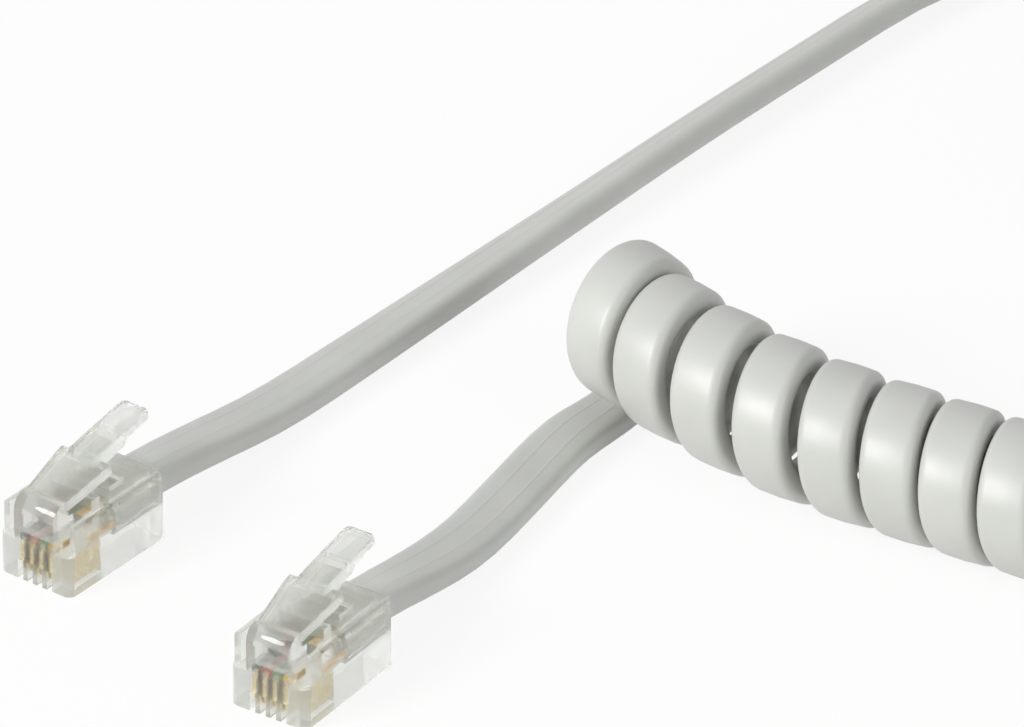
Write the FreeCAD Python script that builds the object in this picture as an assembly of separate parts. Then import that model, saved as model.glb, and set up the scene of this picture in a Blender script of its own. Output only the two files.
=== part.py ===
"""A curly telephone handset cord with a clear four-contact modular plug on each end.

Millimetres. The cord lies on a table, latch side of both plugs up. The origin is the middle of the
handset plug's underside: +Y runs from that plug's nose to its cord, +Z is up, and z = 0 is the table.
"""
import FreeCAD, Part
import math
import os

Vec = FreeCAD.Vector

# Plug housing: the four-contact handset size
plug_width = 7.62
plug_length = 12.07
plug_height = 6.5
nose_height = 3.7
nose_corner = 0.8
wall_setback = 0.8
wall_thickness = 0.6
notch_depth = 2.6
edge_round = 0.3
cut_margin = 1.0

# Contacts, one blade over each conductor
contact_count = 4
contact_pitch = 1.02
contact_thickness = 0.4
contact_clearance = 0.07
contact_recess = 0.5
contact_front = 0.55
contact_length = 4.3
contact_corner = 0.5
slot_mouth_height = 1.8
slot_front_wall = 0.45
slot_overlap = 0.1
tine_length = 0.5
tine_bite = 0.25
tine_inset = 0.7
tine_root = 0.2

# Flat cord jacket and the conductors in it
cord_width = 4.9
cord_thickness = 2.4
cord_clearance = 0.1
cord_height = 3.9
jacket_end = 6.7
conductor_diameter = 0.95
conductor_height = 3.75
conductor_front = 1.25
conductor_clearance = 0.05

# Strain relief bars pressed in from the latch side
anchor_width = 3.6
anchor_start = 7.6
anchor_length = 1.8
anchor_depth = 0.9
clamp_start = 5.0
clamp_length = 0.9
clamp_depth = 0.9
bar_clearance = 0.08
bar_bevel = 0.3
clamp_gap = 0.03

# Latch lever and its root on the nose
root_width = 4.2
root_rise = 2.7
root_round = 1.5
knuckle_radius = 0.5
knuckle_clearance = 0.05
pivot_back = 2.0
lever_angle = 14.7
shoulder_width = 5.2
shoulder_reach = 5.25
shoulder_length = 0.85
tab_width = 2.9
tab_reach = 12.0
tab_start = 4.3
tab_step = 0.6
tab_thick_reach = 8.2
tab_thin = 0.75
tab_round = 0.6

# Curly stretch: each stretch of the coil is a count of turns and the angle its axis bends through
coil_diameter = 12.7
coil_pitch = 5.42
coil_start_x = -5.0
coil_start_y = 49.6
coil_heading = -18.0
coil_stretches = [(5, 24), (9, -6), (9, 180), (5, 0), (5, -90), (4, 0)]
end_lift = 3.7
lift_length = 46.0
entry_turns = 0.45
entry_shift = 0.45
samples_per_turn = 16
round_sides = 4

# Where the plugs lie, and the hand-chosen points of the two leads between plug and coil
base_plug_x = -26.98
base_plug_y = 5.66
base_plug_turn = -3.8
short_lead_points = [Vec(-0.2, 14.5, 2.7), Vec(-1.2, 22.5, 1.2), Vec(-1.9, 30.0, 1.2)]
lead_join_run = 4.5
long_lead_points = [
    Vec(6.0, 139.2, 1.2),
    Vec(-4.5, 139.0, 1.2),
    Vec(-14.0, 132.5, 1.2),
    Vec(-18.7, 122.0, 1.2),
    Vec(-20.0, 107.0, 1.2),
    Vec(-21.5, 90.0, 1.2),
    Vec(-22.6, 73.0, 1.2),
    Vec(-23.8, 57.0, 1.2),
    Vec(-24.9, 43.0, 1.2),
    Vec(-25.6, 31.0, 1.4),
    Vec(-25.9, 21.0, 3.1),
]
plug_run = 7.0
arc_share = 0.45

# Sizes that follow from the ones above
front = -plug_length / 2
rear = plug_length / 2
pivot = Vec(0, front + pivot_back, nose_height + root_rise + root_round - knuckle_radius)
slot_width = contact_thickness + 2 * contact_clearance
conductor_slot = conductor_diameter + 2 * conductor_clearance
conductor_band = (contact_count - 1) * contact_pitch + conductor_slot
jacket_top = cord_height + cord_thickness / 2
conductor_top = conductor_height + conductor_diameter / 2
coil_radius = (coil_diameter - cord_thickness) / 2
base_plug_middle = Vec(base_plug_x, base_plug_y, 0)
conductor_colours = ["black", "red", "green", "yellow"]


def box(x0, x1, y0, y1, z0, z1):
    """A block between two corners."""
    return Part.makeBox(x1 - x0, y1 - y0, z1 - z0, Vec(x0, y0, z0))


def side_prism(points, width):
    """A (y, z) outline made solid, as wide as given and centred across the plug."""
    corners = [Vec(-width / 2, y, z) for y, z in points]
    return Part.Face(Part.makePolygon(corners + corners[:1])).extrude(Vec(width, 0, 0))


def plan_prism(edges, z0, z1):
    """A closed plan outline at height z0 made solid up to z1."""
    return Part.Face(Part.Wire(edges)).extrude(Vec(0, 0, z1 - z0))


def line(a, b):
    return Part.LineSegment(a, b).toShape()


def arc(a, middle, b):
    return Part.Arc(a, middle, b).toShape()


def stadium(middle, across, up, width, thickness):
    """A flat cord's section: straight top and bottom, half-round edges."""
    half = (width - thickness) / 2
    r = thickness / 2
    right = middle + across * half
    left = middle - across * half
    return Part.Wire([
        line(left - up * r, right - up * r),
        arc(right - up * r, right + across * r, right + up * r),
        line(right + up * r, left + up * r),
        arc(left + up * r, left - across * r, left - up * r),
    ])


def contact_places():
    """The middle of each contact across the plug."""
    return [(i - (contact_count - 1) / 2) * contact_pitch for i in range(contact_count)]


def make_nose():
    """The low front block with its rounded upright corners."""
    half = plug_width / 2
    r = nose_corner
    diagonal = r * (1 - math.sqrt(0.5))
    back = front + notch_depth
    outline = [
        line(Vec(-half, back, 0), Vec(-half, front + r, 0)),
        arc(Vec(-half, front + r, 0), Vec(-half + diagonal, front + diagonal, 0), Vec(-half + r, front, 0)),
        line(Vec(-half + r, front, 0), Vec(half - r, front, 0)),
        arc(Vec(half - r, front, 0), Vec(half - diagonal, front + diagonal, 0), Vec(half, front + r, 0)),
        line(Vec(half, front + r, 0), Vec(half, back, 0)),
        line(Vec(half, back, 0), Vec(-half, back, 0)),
    ]
    return plan_prism(outline, 0, nose_height)


def make_root():
    """The latch root: it stands on the nose and rounds back to the lever's knuckle."""
    knee = nose_height + root_rise
    top = knee + root_round
    bend = root_round * (1 - math.sqrt(0.5))
    back = front + notch_depth
    x = -root_width / 2
    edges = [
        line(Vec(x, front, nose_height), Vec(x, front, knee)),
        arc(Vec(x, front, knee), Vec(x, front + bend, top - bend), Vec(x, front + root_round, top)),
        line(Vec(x, front + root_round, top), Vec(x, pivot.y, top)),
        line(Vec(x, pivot.y, top), Vec(x, pivot.y, plug_height)),
        line(Vec(x, pivot.y, plug_height), Vec(x, back, plug_height)),
        line(Vec(x, back, plug_height), Vec(x, back, nose_height)),
        line(Vec(x, back, nose_height), Vec(x, front, nose_height)),
    ]
    root = Part.Face(Part.Wire(edges)).extrude(Vec(root_width, 0, 0))
    seat_radius = knuckle_radius + knuckle_clearance
    seat = Part.makeCylinder(seat_radius, plug_width, Vec(-plug_width / 2, pivot.y, pivot.z), Vec(1, 0, 0))
    return root.cut(seat)


def make_housing():
    """The clear plug body with its contact slots, conductor band, cord tunnel and two bar windows."""
    half = plug_width / 2
    body = box(-half, half, front + wall_setback, rear, 0, plug_height)
    upper_edges = [
        e for e in body.Edges
        if abs(e.BoundBox.ZMin - plug_height) < 1e-6 and e.BoundBox.YLength > e.BoundBox.XLength
    ]
    body = body.makeFillet(edge_round, upper_edges)
    inner = half - wall_thickness
    notch = box(-inner, inner, front, front + notch_depth, nose_height, plug_height)
    body = body.cut(notch).fuse(make_nose()).fuse(make_root())
    cuts = []
    for x in contact_places():
        left = x - slot_width / 2
        right = x + slot_width / 2
        slot_start = front + slot_front_wall
        slot_end = front + contact_front + contact_length + contact_clearance
        cuts.append(box(left, right, slot_start, slot_end, -cut_margin, conductor_height))
        mouth_end = slot_start + slot_overlap
        cuts.append(box(left, right, front - cut_margin, mouth_end, -cut_margin, slot_mouth_height))
    band = conductor_slot / 2
    cuts.append(box(
        -conductor_band / 2, conductor_band / 2, front + conductor_front - conductor_clearance,
        front + jacket_end, conductor_height - band, conductor_height + band,
    ))
    tunnel = stadium(
        Vec(0, front + jacket_end, cord_height), Vec(1, 0, 0), Vec(0, 0, 1),
        cord_width + 2 * cord_clearance, cord_thickness + 2 * cord_clearance,
    )
    cuts.append(Part.Face(tunnel).extrude(Vec(0, plug_length, 0)))
    above = plug_height + cut_margin
    cuts.append(bar_block(anchor_width, anchor_start, anchor_length, cord_height, above, bar_clearance))
    cuts.append(bar_block(conductor_band, clamp_start, clamp_length, conductor_height, above, bar_clearance))
    return body.cut(cuts).removeSplitter()


def bar_block(width, start, length, z0, z1, margin=0.0):
    """A block across the plug, used for a strain relief bar or, with a margin, for its window."""
    side = width / 2 + margin
    return box(-side, side, front + start - margin, front + start + length + margin, z0, z1)


def make_bar(width, start, length, z0, depth):
    """A strain relief bar with its two lower long edges bevelled."""
    bar = bar_block(width, start, length, z0, z0 + depth)
    lower = [
        e for e in bar.Edges
        if abs(e.BoundBox.ZMax - z0) < 1e-6 and e.BoundBox.XLength > e.BoundBox.YLength
    ]
    return bar.makeChamfer(bar_bevel, lower)


def make_contact(x):
    """One blade: a rounded contact edge below, two tines above that bite the conductor."""
    y0 = front + contact_front
    y1 = y0 + contact_length
    z0 = contact_recess
    z1 = conductor_height - conductor_diameter / 2 - conductor_clearance
    r = contact_corner
    bend = r * (1 - math.sqrt(0.5))
    left = x - contact_thickness / 2
    edges = [
        line(Vec(left, y0, z1), Vec(left, y0, z0 + r)),
        arc(Vec(left, y0, z0 + r), Vec(left, y0 + bend, z0 + bend), Vec(left, y0 + r, z0)),
        line(Vec(left, y0 + r, z0), Vec(left, y1, z0)),
        line(Vec(left, y1, z0), Vec(left, y1, z1)),
        line(Vec(left, y1, z1), Vec(left, y0, z1)),
    ]
    blade = Part.Face(Part.Wire(edges)).extrude(Vec(contact_thickness, 0, 0))
    tip = conductor_height + tine_bite
    for start in (y0 + tine_inset, y1 - tine_inset - tine_length):
        middle = start + tine_length / 2
        tine = side_prism(
            [(start, z1 - tine_root), (start, conductor_height), (middle, tip),
             (start + tine_length, conductor_height), (start + tine_length, z1 - tine_root)],
            contact_thickness,
        )
        tine.translate(Vec(x, 0, 0))
        blade = blade.fuse(tine)
    return blade.removeSplitter()


def make_conductor(x, contact):
    """One insulated conductor from the jacket's end to the nose, split by its contact's tines."""
    start = Vec(x, front + conductor_front, conductor_height)
    length = jacket_end - conductor_front
    return Part.makeCylinder(conductor_diameter / 2, length, start, Vec(0, 1, 0)).cut(contact)


def make_latch():
    """The lever: knuckle, flared plate with shoulders, and the raised finger tab."""
    r = knuckle_radius
    knuckle = Part.makeCylinder(r, root_width, Vec(-root_width / 2, 0, 0), Vec(1, 0, 0))
    narrow = root_width / 2
    wide = shoulder_width / 2
    flare = shoulder_reach - shoulder_length
    plan = [(-narrow, 0), (narrow, 0), (wide, flare)]
    plan += [(wide, shoulder_reach), (-wide, shoulder_reach), (-wide, flare)]
    corners = [Vec(x, y, -r) for x, y in plan]
    plate = Part.Face(Part.makePolygon(corners + corners[:1])).extrude(Vec(0, 0, 2 * r))
    tab = side_prism(
        [(tab_start, -r), (tab_start, r), (tab_start + tab_step / 2, r + tab_step), (tab_reach, r),
         (tab_reach, r - tab_thin), (tab_thick_reach + tab_step, r - tab_thin + tab_step / 4),
         (tab_thick_reach, -r)],
        tab_width,
    )
    tip_edges = [
        e for e in tab.Edges
        if e.BoundBox.YMin > tab_reach - 1e-6 and e.BoundBox.ZLength > e.BoundBox.XLength
    ]
    tab = tab.makeFillet(tab_round, tip_edges)
    lever = knuckle.fuse([plate, tab]).removeSplitter()
    lever.rotate(Vec(0, 0, 0), Vec(1, 0, 0), lever_angle)
    lever.translate(pivot)
    return lever


def make_plug():
    """Every rigid piece of one plug, by name, in the plug's own frame."""
    pieces = {
        "plug_housing": make_housing(),
        "latch_lever": make_latch(),
        "jacket_anchor": make_bar(anchor_width, anchor_start, anchor_length, jacket_top, anchor_depth),
        "conductor_clamp": make_bar(
            conductor_band, clamp_start, clamp_length, conductor_top + clamp_gap, clamp_depth),
    }
    for number, (x, colour) in enumerate(zip(contact_places(), conductor_colours), 1):
        contact = make_contact(x)
        pieces[f"contact_{number}"] = contact
        pieces[f"conductor_{colour}"] = make_conductor(x, contact)
    return pieces


def plan_direction(degrees):
    return Vec(math.cos(math.radians(degrees)), math.sin(math.radians(degrees)), 0)


def coil_axis(turns):
    """Place, heading in degrees and length so far of the coil's axis after a number of turns."""
    place = Vec(coil_start_x, coil_start_y, 0)
    heading = coil_heading
    run = 0.0
    left = turns
    for index, (count, bend) in enumerate(coil_stretches):
        last = index == len(coil_stretches) - 1
        share = left / count if last or left < count else 1.0
        length = count * coil_pitch + abs(math.radians(bend)) * coil_diameter / 2
        turn = bend * share
        if bend:
            radius = length / math.radians(bend)
            to_left = plan_direction(heading + 90)
            place = place + to_left * radius - plan_direction(heading + turn + 90) * radius
        else:
            place = place + plan_direction(heading) * (length * share)
        heading += turn
        run += length * share
        left -= count * share
        if left <= 1e-9:
            break
    return place, heading, run


def coil_middle(turns):
    """The middle of the flat cord after a number of turns, and the way out from the coil's axis.

    Turns count from the underside. The coil's raised end stands on its own lead: the cord comes in along
    the table, under the first curl, and draws in to the coil's radius as it climbs behind it.
    """
    entry = max(0.0, 1 - turns / entry_turns)
    place, heading, run = coil_axis(turns + entry_shift * entry ** 3)
    lift = end_lift * max(0.0, 1 - run / lift_length) ** 2
    radius = coil_radius + lift * entry ** 2 * (3 - 2 * entry)
    angle = 2 * math.pi * turns
    out = plan_direction(heading + 90) * math.sin(angle) - Vec(0, 0, math.cos(angle))
    return place + Vec(0, 0, coil_diameter / 2 + lift) + out * radius, out


def coil_direction(turns):
    step = 0.01
    return (coil_middle(turns + step)[0] - coil_middle(turns - step)[0]).normalize()


def section_corners(middle, out, along):
    """The corners of the flat cord's section, its thickness along out."""
    across = along.cross(out).normalize()
    up = across.cross(along).normalize()
    half = (cord_width - cord_thickness) / 2
    r = cord_thickness / 2
    corners = []
    for side in (1, -1):
        for i in range(round_sides + 1):
            angle = math.pi * (i / round_sides - 0.5)
            reach = half + r * math.cos(angle)
            corners.append(middle + across * (side * reach) + up * (side * r * math.sin(angle)))
    return corners


def total_turns():
    return sum(count for count, bend in coil_stretches)


def coil_section(turns):
    middle, out = coil_middle(turns)
    return section_corners(middle, out, coil_direction(turns))


def make_curly_cord():
    """The curls: one edge per section corner and turn, ruled faces between, a straight stub at each end."""
    turns = total_turns()
    spans = []
    first = coil_section(0)
    last = coil_section(turns)
    stub_in = coil_direction(0) * -cord_width
    stub_out = coil_direction(turns) * cord_width
    start = [p + stub_in for p in first]
    end = [p + stub_out for p in last]
    spans.append([line(a, b) for a, b in zip(start, first)])
    for turn in range(turns):
        sections = [coil_section(turn + i / samples_per_turn) for i in range(samples_per_turn + 1)]
        step = 1e-3
        edges = []
        for corner in range(len(first)):
            ends = []
            for t in (turn, turn + 1):
                ends.append((coil_section(t + step)[corner] - coil_section(t - step)[corner]).normalize())
            curve = Part.BSplineCurve()
            curve.interpolate(
                Points=[s[corner] for s in sections], InitialTangent=ends[0], FinalTangent=ends[1])
            edges.append(curve.toShape())
        spans.append(edges)
    spans.append([line(a, b) for a, b in zip(last, end)])
    faces = [Part.Face(Part.makePolygon(ring + ring[:1])) for ring in (start, end)]
    for edges in spans:
        for a, b in zip(edges, edges[1:] + edges[:1]):
            faces.append(Part.makeRuledSurface(a, b))
    shell = Part.makeShell(faces)
    shell.sewShape()
    solid = Part.Solid(shell)
    if solid.Volume < 0:
        solid.reverse()
    return solid


def least_coil_gap():
    """The smallest distance, square to the cord, between section points one turn apart."""
    gap = coil_diameter
    for i in range((total_turns() - 1) * samples_per_turn + 1):
        turns = i / samples_per_turn
        along = coil_direction(turns)
        here = coil_section(turns)
        beyond = coil_section(turns + 1)
        for apart in (b - a for a in here for b in beyond):
            gap = min(gap, (apart - along * apart.dot(along)).Length)
    return gap


def lead_path(points):
    """Straight runs joined by tangent arcs, each as large as its two runs allow."""
    edges = []
    radii = []
    start = points[0]
    for before, corner, after in zip(points, points[1:], points[2:]):
        back = before - corner
        on = after - corner
        half_turn = (math.pi - back.getAngle(on)) / 2
        cut = arc_share * min(back.Length, on.Length)
        back.normalize()
        on.normalize()
        radius = cut / math.tan(half_turn)
        radii.append(radius)
        inward = (back + on).normalize()
        middle = corner + inward * (radius / math.cos(half_turn) - radius)
        edges.append(line(start, corner + back * cut))
        edges.append(arc(corner + back * cut, middle, corner + on * cut))
        start = corner + on * cut
    edges.append(line(start, points[-1]))
    return Part.Wire(edges), radii


def make_lead(name, points):
    """A flat cord along its route, lying on its wide face."""
    path, radii = lead_path(points)
    along = (points[1] - points[0]).normalize()
    across = along.cross(Vec(0, 0, 1)).normalize()
    section = stadium(points[0], across, across.cross(along), cord_width, cord_thickness)
    sweep = Part.BRepOffsetAPI.MakePipeShell(path)
    sweep.add(section)
    sweep.build()
    sweep.makeSolid()
    lead = sweep.shape()
    expected = Part.Face(section).Area * path.Length
    print(f"{name}: length {path.Length:.1f}, least radius {min(radii):.1f}, "
          f"volume {lead.Volume / expected:.4f} of section times length")
    return lead


def base_plug_place(shape):
    """A base plug piece moved from the plug's own frame to where that plug lies."""
    placed = shape.copy()
    placed.rotate(Vec(0, 0, 0), Vec(0, 0, 1), base_plug_turn)
    placed.translate(base_plug_middle)
    return placed


def base_point(y):
    """A point on the base plug's cord line, y behind the plug's middle."""
    return base_plug_middle + plan_direction(90 + base_plug_turn) * y + Vec(0, 0, cord_height)


def main():
    os.makedirs("parts", exist_ok=True)
    nodes = {}
    for name, shape in make_plug().items():
        nodes["handset_" + name] = shape
        nodes["base_" + name] = base_plug_place(shape)

    turns = total_turns()
    coil_in = coil_middle(0)[0] - coil_direction(0) * cord_width
    coil_out = coil_middle(turns)[0] + coil_direction(turns) * cord_width
    inside = front + jacket_end
    short_route = [Vec(0, inside, cord_height), Vec(0, inside + plug_run, cord_height)] + short_lead_points
    short_route += [coil_in - coil_direction(0) * lead_join_run, coil_in]
    long_route = [coil_out, coil_out + coil_direction(turns) * lead_join_run] + long_lead_points
    long_route += [base_point(inside + plug_run), base_point(inside)]
    nodes["short_lead"] = make_lead("short_lead", short_route)
    nodes["curly_cord"] = make_curly_cord()
    nodes["long_lead"] = make_lead("long_lead", long_route)
    print(f"curly_cord: {turns} turns, axis {coil_axis(turns)[2]:.1f}, "
          f"least gap to itself {least_coil_gap():.2f}, volume {nodes['curly_cord'].Volume:.0f}")

    for name, shape in nodes.items():
        if not shape.isValid() or len(shape.Solids) != 1:
            print("check", name, shape.isValid(), len(shape.Solids))
        shape.exportStep(f"parts/{name}.step")


main()
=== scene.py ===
"""Dresses the curly telephone handset cord: its flat cord, its two clear plugs, the light and the camera."""
import bmesh
import bpy
import math
from mathutils import Matrix, Vector


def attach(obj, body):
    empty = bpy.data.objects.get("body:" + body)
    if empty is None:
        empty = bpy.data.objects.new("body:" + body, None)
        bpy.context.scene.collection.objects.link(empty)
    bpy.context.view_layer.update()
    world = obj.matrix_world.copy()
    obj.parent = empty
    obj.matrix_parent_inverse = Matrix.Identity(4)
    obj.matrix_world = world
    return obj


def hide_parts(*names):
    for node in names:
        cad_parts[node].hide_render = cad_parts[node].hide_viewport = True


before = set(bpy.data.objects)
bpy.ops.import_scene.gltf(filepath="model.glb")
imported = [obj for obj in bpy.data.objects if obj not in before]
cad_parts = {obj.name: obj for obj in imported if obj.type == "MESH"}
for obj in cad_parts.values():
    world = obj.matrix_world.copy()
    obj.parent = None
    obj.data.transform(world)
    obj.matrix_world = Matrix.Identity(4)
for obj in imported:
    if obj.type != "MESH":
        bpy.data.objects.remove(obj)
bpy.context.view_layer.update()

MM = 0.001
UP = Vector((0, 0, 1))
ENDS = ("handset", "base")
CONDUCTORS = {"black": "#1B1A1A", "red": "#9E2E1E", "green": "#3E7A46", "yellow": "#D6A93A"}

# The flat cord's section and its place in the plugs, as in the solids. Lengths are in millimetres and angles
# in degrees, and points turn to metres when the cord is made
CORD_WIDTH = 4.9
CORD_THICKNESS = 2.4
CORD_HEIGHT = 3.9
JACKET_START = 0.665
PLUG_RUN = 7.0
BASE_PLUG_MIDDLE = Vector((-26.98, 5.66, 0))
BASE_PLUG_TURN = -3.8

# The coil: stretches of curls, each with its count and the bend of the axis along it
COIL_DIAMETER = 12.7
COIL_PITCH = 5.42
COIL_START = Vector((-5.0, 49.6, 0))
COIL_HEADING = -18.0
COIL_STRETCHES = ((5, 24), (9, -6), (9, 180), (5, 0), (5, -90), (4, 0))
LEAVE_RUN = 4.5
POINTS_PER_TURN = 16

# The coil's first curl: raised on its own lead, with the cord coming in under it and its top leaning forward
END_LIFT = 3.7
LIFT_LENGTH = 46.0
ENTRY_TURNS = 0.45
ENTRY_SHIFT = 0.45
ENTRY_RUN = 3.0
ENTRY_ROLL = 3
FIRST_LEAN = 1.5
LEAN_TURNS = 1.6
LEAN_PHASE = 45.0

# Points of the leads between plug and coil, each with the roll of the flat cord there. The short lead lies
# about a millimetre from the solid's, as the photograph shows it
SHORT_LEAD = (
    ((0.1, 14.5, 2.7), 4),
    ((-0.2, 22.5, 1.5), 12),
    ((-1.1, 31.0, 1.65), 18),
    ((-2.45, 40.5, 1.55), 12),
)
LONG_LEAD = (
    ((6.0, 139.2, 1.3), 10),
    ((-4.5, 139.0, 1.6), 20),
    ((-14.0, 132.5, 1.8), 28),
    ((-18.7, 122.0, 1.8), 28),
    ((-20.0, 107.0, 1.8), 28),
    ((-21.5, 90.0, 1.8), 28),
    ((-22.6, 73.0, 1.7), 24),
    ((-23.8, 57.0, 1.5), 15),
    ((-24.9, 43.0, 1.3), 6),
    ((-25.6, 31.0, 1.4), 0),
    ((-25.9, 21.0, 3.1), 0),
)

# The moulded edges' rounding
ROUND_EDGE = 0.12

# The photograph's viewpoint: a long lens a metre away
VIEW_TARGET = Vector((-14.42, 50.62, 0))
VIEW_AZIMUTH = 34.0
VIEW_ELEVATION = 31.3
VIEW_DISTANCE = 1000.0
LENS = 414.5
SENSOR = 36.0


def linear(hex_colour):
    """An sRGB hex value as linear red, green, blue and alpha."""
    parts = [int(hex_colour[i:i + 2], 16) / 255 for i in (1, 3, 5)]
    return [c / 12.92 if c <= 0.04045 else ((c + 0.055) / 1.055) ** 2.4 for c in parts] + [1.0]


def add_node(tree, kind, settings=None, inputs=None, links=None):
    """Adds a node, sets its properties and sockets, and links other nodes' outputs to its inputs."""
    node = tree.nodes.new(kind)
    for name, value in (settings or {}).items():
        setattr(node, name, value)
    for name, value in (inputs or {}).items():
        node.inputs[name].default_value = value
    for name, output in (links or {}).items():
        tree.links.new(output, node.inputs[name])
    return node


def new_material(name):
    """An empty node material with its output, as material, tree and output node."""
    material = bpy.data.materials.new(name)
    material.use_nodes = True
    tree = material.node_tree
    tree.nodes.clear()
    return material, tree, add_node(tree, "ShaderNodeOutputMaterial")


def grey_pvc():
    """Soft PVC, extruded: satin, with a faint waviness from the die and slight cloudiness in the grey."""
    material, tree, output = new_material("grey_soft_pvc")
    place = add_node(tree, "ShaderNodeTexCoord").outputs["Object"]
    cloud_size, wave_size = 6.0, 0.9
    cloud = add_node(tree, "ShaderNodeTexNoise", None,
                     {"Scale": 1 / (cloud_size * MM), "Detail": 3.0}, {"Vector": place})
    wave = add_node(tree, "ShaderNodeTexNoise", None,
                    {"Scale": 1 / (wave_size * MM), "Detail": 2.0}, {"Vector": place})
    colour = add_node(tree, "ShaderNodeValToRGB", None, None, {"Fac": cloud.outputs["Fac"]})
    colour.color_ramp.elements[0].color = linear("#BBBCB7")
    colour.color_ramp.elements[1].color = linear("#C8C9C4")
    rough = add_node(tree, "ShaderNodeMapRange", None, {"To Min": 0.36, "To Max": 0.46},
                     {"Value": wave.outputs["Fac"]})
    bump = add_node(tree, "ShaderNodeBump", None, {"Strength": 0.12, "Distance": 0.02 * MM},
                    {"Height": wave.outputs["Fac"]})
    surface = add_node(
        tree, "ShaderNodeBsdfPrincipled", None, {"IOR": 1.53},
        {"Base Color": colour.outputs["Color"], "Roughness": rough.outputs["Result"],
         "Normal": bump.outputs["Normal"]})
    tree.links.new(surface.outputs["BSDF"], output.inputs["Surface"])
    return material


def clear_polycarbonate():
    """Polycarbonate, moulded clear: glossy, a slight ripple from the mould, a little milky inside."""
    material, tree, output = new_material("clear_polycarbonate")
    place = add_node(tree, "ShaderNodeTexCoord").outputs["Object"]
    ripple_size, straight_share, milk_share = 1.6, 0.3, 0.12
    ripple = add_node(tree, "ShaderNodeTexNoise", None,
                      {"Scale": 1 / (ripple_size * MM), "Detail": 1.0}, {"Vector": place})
    bump = add_node(tree, "ShaderNodeBump", None, {"Strength": 0.05, "Distance": 0.05 * MM},
                    {"Height": ripple.outputs["Fac"]})
    glass = add_node(
        tree, "ShaderNodeBsdfPrincipled", None,
        {"Base Color": linear("#F6F7F4"), "Roughness": 0.01, "IOR": 1.585, "Transmission Weight": 1.0},
        {"Normal": bump.outputs["Normal"]})
    straight = add_node(tree, "ShaderNodeBsdfTransparent", None, {"Color": linear("#F4F5F2")})
    milk = add_node(tree, "ShaderNodeBsdfTranslucent", None, {"Color": linear("#FAFAF6")})
    clear = add_node(tree, "ShaderNodeMixShader", None, {0: straight_share},
                     {1: glass.outputs["BSDF"], 2: straight.outputs["BSDF"]})
    surface = add_node(tree, "ShaderNodeMixShader", None, {0: milk_share},
                       {1: clear.outputs["Shader"], 2: milk.outputs["BSDF"]})
    tree.links.new(surface.outputs["Shader"], output.inputs["Surface"])
    return material


def plated_gold():
    """Gold plate on stamped bronze: bright metal with fine marks along the stamping."""
    material, tree, output = new_material("gold_plated_contact")
    place = add_node(tree, "ShaderNodeTexCoord").outputs["Object"]
    mark_size = 0.25
    marks = add_node(tree, "ShaderNodeTexNoise", None,
                     {"Scale": 1 / (mark_size * MM), "Detail": 2.0}, {"Vector": place})
    rough = add_node(tree, "ShaderNodeMapRange", None, {"To Min": 0.18, "To Max": 0.34},
                     {"Value": marks.outputs["Fac"]})
    surface = add_node(
        tree, "ShaderNodeBsdfPrincipled", None, {"Base Color": linear("#EBD7A4"), "Metallic": 1.0},
        {"Roughness": rough.outputs["Result"]})
    tree.links.new(surface.outputs["BSDF"], output.inputs["Surface"])
    return material


def wire_insulation(name, colour):
    """Thin extruded insulation: smooth plastic in one colour, a little uneven in gloss."""
    material, tree, output = new_material("insulation_" + name)
    place = add_node(tree, "ShaderNodeTexCoord").outputs["Object"]
    patch_size = 0.8
    patch = add_node(tree, "ShaderNodeTexNoise", None, {"Scale": 1 / (patch_size * MM)}, {"Vector": place})
    rough = add_node(tree, "ShaderNodeMapRange", None, {"To Min": 0.3, "To Max": 0.45},
                     {"Value": patch.outputs["Fac"]})
    surface = add_node(tree, "ShaderNodeBsdfPrincipled", None, {"Base Color": linear(colour), "IOR": 1.5},
                       {"Roughness": rough.outputs["Result"]})
    tree.links.new(surface.outputs["BSDF"], output.inputs["Surface"])
    return material


def seen_rays(tree):
    """Is 1 on rays from the camera, through clear plastic and off gloss, and 0 on light bounced elsewhere."""
    path = add_node(tree, "ShaderNodeLightPath")
    seen = path.outputs["Is Camera Ray"]
    for kind in ("Is Transmission Ray", "Is Glossy Ray"):
        larger = add_node(tree, "ShaderNodeMath", {"operation": "MAXIMUM"}, None,
                          {0: seen, 1: path.outputs[kind]})
        seen = larger.outputs[0]
    return seen


def plan_direction(degrees):
    """The level unit vector at an angle from +X."""
    return Vector((math.cos(math.radians(degrees)), math.sin(math.radians(degrees)), 0))


def coil_axis(turns):
    """Place, heading in degrees and length so far of the coil's axis after a number of turns."""
    place, heading, run, left = COIL_START.copy(), COIL_HEADING, 0.0, turns
    tiny = 1e-9
    for count, bend in COIL_STRETCHES:
        last = (count, bend) == COIL_STRETCHES[-1]
        share = left / count if last or left < count else 1.0
        length = count * COIL_PITCH + abs(math.radians(bend)) * COIL_DIAMETER / 2
        if bend:
            radius = length / math.radians(bend)
            place += (plan_direction(heading + 90) - plan_direction(heading + bend * share + 90)) * radius
        else:
            place += plan_direction(heading) * (length * share)
        heading += bend * share
        run += length * share
        left -= count * share
        if left <= tiny:
            break
    return place, heading, run


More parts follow.
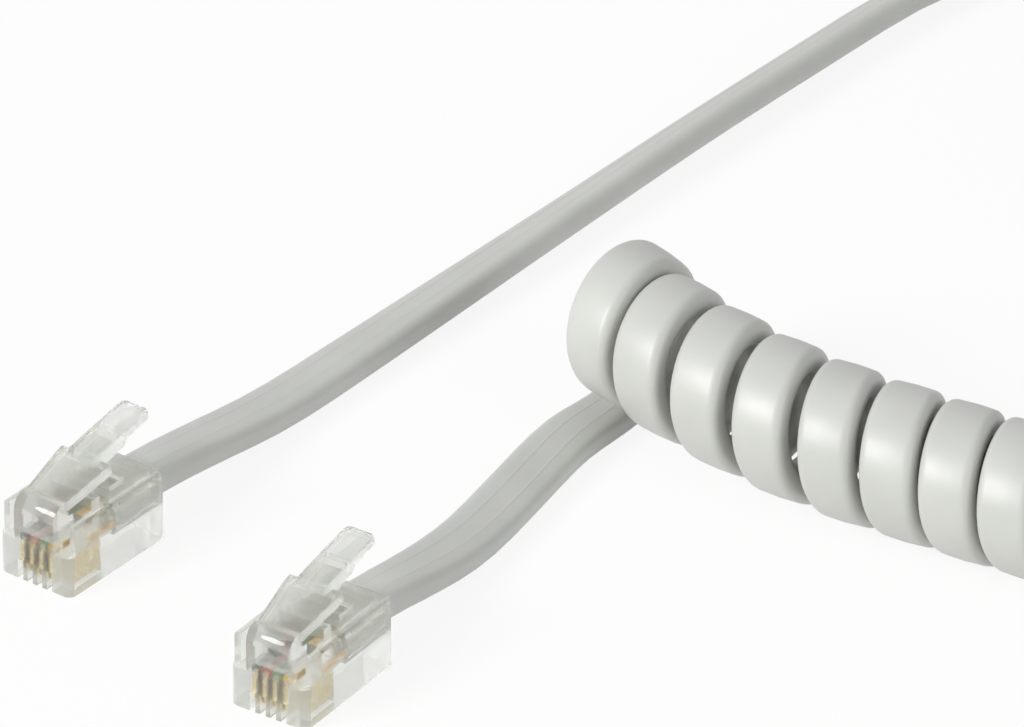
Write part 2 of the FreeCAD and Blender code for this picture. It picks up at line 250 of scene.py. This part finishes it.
def coil_point(turns, outset=1.0):
    """A point of the curls and the direction out from the coil's axis, counted from the coil's bottom.

    The cord comes in along the table under the raised first curl and draws in as it climbs behind it. The top
    of the first curl leans towards the next one.
    """
    entry = max(0.0, 1 - turns / ENTRY_TURNS)
    place, heading, run = coil_axis(turns + ENTRY_SHIFT * entry ** 3)
    lift = END_LIFT * max(0.0, 1 - run / LIFT_LENGTH) ** 2
    radius = (COIL_DIAMETER - CORD_THICKNESS) / 2 + lift * entry ** 2 * (3 - 2 * entry)
    angle = 2 * math.pi * turns
    out = plan_direction(heading + 90) * math.sin(angle) - UP * math.cos(angle)
    lean_angle = angle - math.radians(LEAN_PHASE)
    lean = FIRST_LEAN * max(0.0, 1 - turns / LEAN_TURNS) * (1 - math.cos(lean_angle)) / 2
    place += plan_direction(heading) * lean
    return place + UP * (COIL_DIAMETER / 2 + lift) + out * (radius * outset), out


def coil_direction(turns):
    """The way the cord runs at that point of the curls."""
    step = 0.01
    return (coil_point(turns + step)[0] - coil_point(turns - step)[0]).normalized()


def rolled(along, degrees):
    """The flat cord's face normal for a stretch that runs along, rolled about that line."""
    level = along.cross(UP).cross(along).normalized()
    return Matrix.Rotation(math.radians(degrees), 3, along) @ level


def base_point(y):
    """A point on the base plug's cord line, y behind the plug's middle."""
    return BASE_PLUG_MIDDLE + plan_direction(90 + BASE_PLUG_TURN) * y + UP * CORD_HEIGHT


def cord_route():
    """Control points of the whole cord from plug to plug, each with the normal of the cord's upper face."""
    turns = sum(count for count, bend in COIL_STRETCHES)
    first, last = coil_direction(0), coil_direction(turns)
    enter = coil_point(0)[0] - first * ENTRY_RUN
    leave = coil_point(turns)[0] + last * CORD_WIDTH
    short = [(Vector((0, y, CORD_HEIGHT)), 0) for y in (JACKET_START, JACKET_START + PLUG_RUN)]
    short += [(Vector(p), roll) for p, roll in SHORT_LEAD]
    short += [(enter, ENTRY_ROLL)]
    long = [(leave, 0), (leave + last * LEAVE_RUN, 0)] + [(Vector(p), roll) for p, roll in LONG_LEAD]
    long += [(base_point(JACKET_START + PLUG_RUN), 0), (base_point(JACKET_START), 0)]

    def with_normals(points):
        ends = [points[0]] + points + [points[-1]]
        return [(p, rolled((after[0] - before[0]).normalized(), roll))
                for before, (p, roll), after in zip(ends, points, ends[2:])]

    # A spline of this order cuts inside its points, so the curls' points stand out by as much
    outset = 1 / math.cos(math.pi / POINTS_PER_TURN)
    curls = []
    for i in range(turns * POINTS_PER_TURN + 1):
        point, out = coil_point(i / POINTS_PER_TURN, outset)
        curls.append((point, -out))
    return with_normals(short) + curls + with_normals(long)


def spline_points(name, points):
    """The points along a NURBS spline with these control points, in metres."""
    curve = bpy.data.curves.new(name, "CURVE")
    curve.dimensions = "3D"
    curve.resolution_u = 3
    spline = curve.splines.new("NURBS")
    spline.points.add(len(points) - 1)
    for target, p in zip(spline.points, points):
        target.co = (*(p * MM), 1)
    spline.order_u = 3
    spline.use_endpoint_u = True
    holder = bpy.data.objects.new(name, curve)
    bpy.context.scene.collection.objects.link(holder)
    bpy.context.view_layer.update()
    mesh = bpy.data.meshes.new_from_object(holder)
    found = [v.co.copy() for v in mesh.vertices]
    bpy.data.objects.remove(holder)
    bpy.data.curves.remove(curve)
    bpy.data.meshes.remove(mesh)
    return found


def cord_section():
    """The flat cord's section: rounded corners, slightly crowned faces, two fine die lines on one face."""
    corner, corner_steps, crown = 0.85, 5, 0.06
    line_place, line_foot, line_shoulder, line_height = 0.8, 0.15, 0.07, 0.04
    line_profile = ((line_foot, 0), (line_shoulder, 0), (0, line_height),
                    (-line_shoulder, 0), (-line_foot, 0))
    x = CORD_WIDTH / 2 - corner
    y = CORD_THICKNESS / 2 - crown - corner
    face = CORD_THICKNESS / 2
    outline = []
    # The four corners in turn, each an arc from its start angle, with the die lines after the second
    for side, level, start in ((x, -y, -90), (x, y, 0), (-x, y, 90), (-x, -y, 180)):
        for i in range(corner_steps + 1):
            angle = math.radians(start + 90 * i / corner_steps)
            outline.append((side + corner * math.cos(angle), level + corner * math.sin(angle)))
        if start == 0:
            for place in (line_place, -line_place):
                outline += [(place + across, face + rise) for across, rise in line_profile]
        if start == 180:
            outline.append((0, -face))
    return outline


def make_cord(material):
    """One unbroken flat cord from plug to plug, swept along its spline."""
    route = cord_route()
    guide_offset = 1.0
    middle = spline_points("cord_line", [p for p, normal in route])
    guide = spline_points("cord_guide", [p + normal * guide_offset for p, normal in route])
    section = cord_section()
    bm = bmesh.new()
    rings = []
    for i, point in enumerate(middle):
        before, after = middle[max(i - 1, 0)], middle[min(i + 1, len(middle) - 1)]
        along = (after - before).normalized()
        across = along.cross(guide[i] - point).normalized()
        normal = across.cross(along)
        rings.append([bm.verts.new(point + across * (x * MM) + normal * (y * MM)) for x, y in section])
    for ring, following in zip(rings, rings[1:]):
        for i in range(len(section)):
            j = (i + 1) % len(section)
            bm.faces.new((ring[i], following[i], following[j], ring[j]))
    for ring in (rings[0], rings[-1]):
        bm.faces.new(ring)
    bmesh.ops.recalc_face_normals(bm, faces=bm.faces)
    for face in bm.faces:
        face.smooth = len(face.verts) == 4
    mesh = bpy.data.meshes.new("flat_cord")
    bm.to_mesh(mesh)
    bm.free()
    mesh.materials.append(material)
    cord = bpy.data.objects.new("flat_cord", mesh)
    bpy.context.scene.collection.objects.link(cord)
    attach(cord, "cord")
    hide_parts("short_lead", "curly_cord", "long_lead")
    return cord


def soften_edges(node, body, material):
    """A copy of a moulded CAD piece with its edges rounded, in the place of that piece."""
    join_distance, flat_angle, edge_angle = 0.002, 2, 35
    bm = bmesh.new()
    bm.from_mesh(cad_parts[node].data)
    bmesh.ops.remove_doubles(bm, verts=bm.verts, dist=join_distance * MM)
    bmesh.ops.dissolve_limit(bm, angle_limit=math.radians(flat_angle), verts=bm.verts, edges=bm.edges)
    mesh = bpy.data.meshes.new(node + "_moulded")
    bm.to_mesh(mesh)
    bm.free()
    mesh.materials.append(material)
    piece = bpy.data.objects.new(node + "_moulded", mesh)
    bpy.context.scene.collection.objects.link(piece)
    bevel = piece.modifiers.new("rounded_edges", "BEVEL")
    bevel.width = ROUND_EDGE * MM
    bevel.segments = 2
    bevel.limit_method = "ANGLE"
    bevel.angle_limit = math.radians(edge_angle)
    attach(piece, body)
    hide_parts(node)
    return piece


def dress_node(node, material):
    """Gives a CAD node its material."""
    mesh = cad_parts[node].data
    mesh.materials.clear()
    mesh.materials.append(material)


def dress_plugs():
    """The clear housings and levers, the gold contacts and the coloured conductors."""
    clear = clear_polycarbonate()
    gold = plated_gold()
    insulation = {name: wire_insulation(name, colour) for name, colour in CONDUCTORS.items()}
    for end in ENDS:
        soften_edges(end + "_plug_housing", "cord", clear)
        soften_edges(end + "_latch_lever", end + "_latch", clear)
        dress_node(end + "_jacket_anchor", clear)
        dress_node(end + "_conductor_clamp", clear)
        for number in range(1, len(CONDUCTORS) + 1):
            dress_node(f"{end}_contact_{number}", gold)
        for name in CONDUCTORS:
            dress_node(f"{end}_conductor_{name}", insulation[name])


def view_vector(right, depth, up):
    """A vector given as right, away and up for the photograph's viewer, in the part's frame."""
    across = plan_direction(VIEW_AZIMUTH)
    return across * right + plan_direction(VIEW_AZIMUTH + 90) * depth + UP * up


def make_floor():
    """A plain white table that keeps the object's shadow and reads as white behind it."""
    half_size, drop, white_share = 3.0, 0.02, 0.88
    material, tree, output = new_material("white_table")
    white = add_node(tree, "ShaderNodeEmission", None, {"Color": (1, 1, 1, 1), "Strength": 1.0})
    matt = add_node(tree, "ShaderNodeBsdfDiffuse", None, {"Color": linear("#F2F2F0")})
    share = add_node(tree, "ShaderNodeMath", {"operation": "MULTIPLY"}, {1: white_share},
                     {0: seen_rays(tree)})
    mix = add_node(tree, "ShaderNodeMixShader", None, None,
                   {0: share.outputs[0], 1: matt.outputs["BSDF"], 2: white.outputs["Emission"]})
    tree.links.new(mix.outputs["Shader"], output.inputs["Surface"])
    bm = bmesh.new()
    bmesh.ops.create_grid(bm, x_segments=1, y_segments=1, size=half_size)
    bmesh.ops.translate(bm, verts=bm.verts, vec=(0, 0, -drop * MM))
    mesh = bpy.data.meshes.new("table")
    bm.to_mesh(mesh)
    bm.free()
    mesh.materials.append(material)
    table = bpy.data.objects.new("table", mesh)
    bpy.context.scene.collection.objects.link(table)


def make_light():
    """Soft studio light from the viewer's upper left, a weak fill, and a pale world."""
    # Name, place right, away and up from the viewed point in metres, width in metres, watts
    lamps = (
        ("key", (-0.75, -0.40, 0.55), 0.45, 8.5),
        ("fill", (0.70, -0.60, 0.45), 0.60, 2.0),
    )
    for name, place, size, watts in lamps:
        lamp = bpy.data.lights.new(name, "AREA")
        lamp.shape = "DISK"
        lamp.size = size
        lamp.energy = watts
        holder = bpy.data.objects.new(name, lamp)
        holder.location = VIEW_TARGET * MM + view_vector(*place)
        holder.rotation_euler = (-view_vector(*place)).to_track_quat("-Z", "Y").to_euler()
        bpy.context.scene.collection.objects.link(holder)
    world = bpy.data.worlds.new("studio")
    world.use_nodes = True
    tree = world.node_tree
    tree.nodes.clear()
    output = add_node(tree, "ShaderNodeOutputWorld")
    room = add_node(tree, "ShaderNodeBackground", None, {"Color": linear("#EEEFEF"), "Strength": 0.5})
    white = add_node(tree, "ShaderNodeBackground", None, {"Color": (1, 1, 1, 1), "Strength": 1.0})
    mix = add_node(tree, "ShaderNodeMixShader", None, None,
                   {0: seen_rays(tree), 1: room.outputs["Background"], 2: white.outputs["Background"]})
    tree.links.new(mix.outputs["Shader"], output.inputs["Surface"])
    bpy.context.scene.world = world


def make_camera():
    """The photograph's view."""
    camera = bpy.data.cameras.new("view")
    camera.lens = LENS
    camera.sensor_width = SENSOR
    camera.clip_start = 0.01
    rise = math.radians(VIEW_ELEVATION)
    away = view_vector(0, -math.cos(rise), math.sin(rise))
    holder = bpy.data.objects.new("view", camera)
    holder.location = (VIEW_TARGET + away * VIEW_DISTANCE) * MM
    holder.rotation_euler = (-away).to_track_quat("-Z", "Y").to_euler()
    bpy.context.scene.collection.objects.link(holder)
    bpy.context.scene.camera = holder


bpy.context.scene.view_settings.view_transform = "Standard"
make_camera()
make_light()
make_floor()
make_cord(grey_pvc())
dress_plugs()
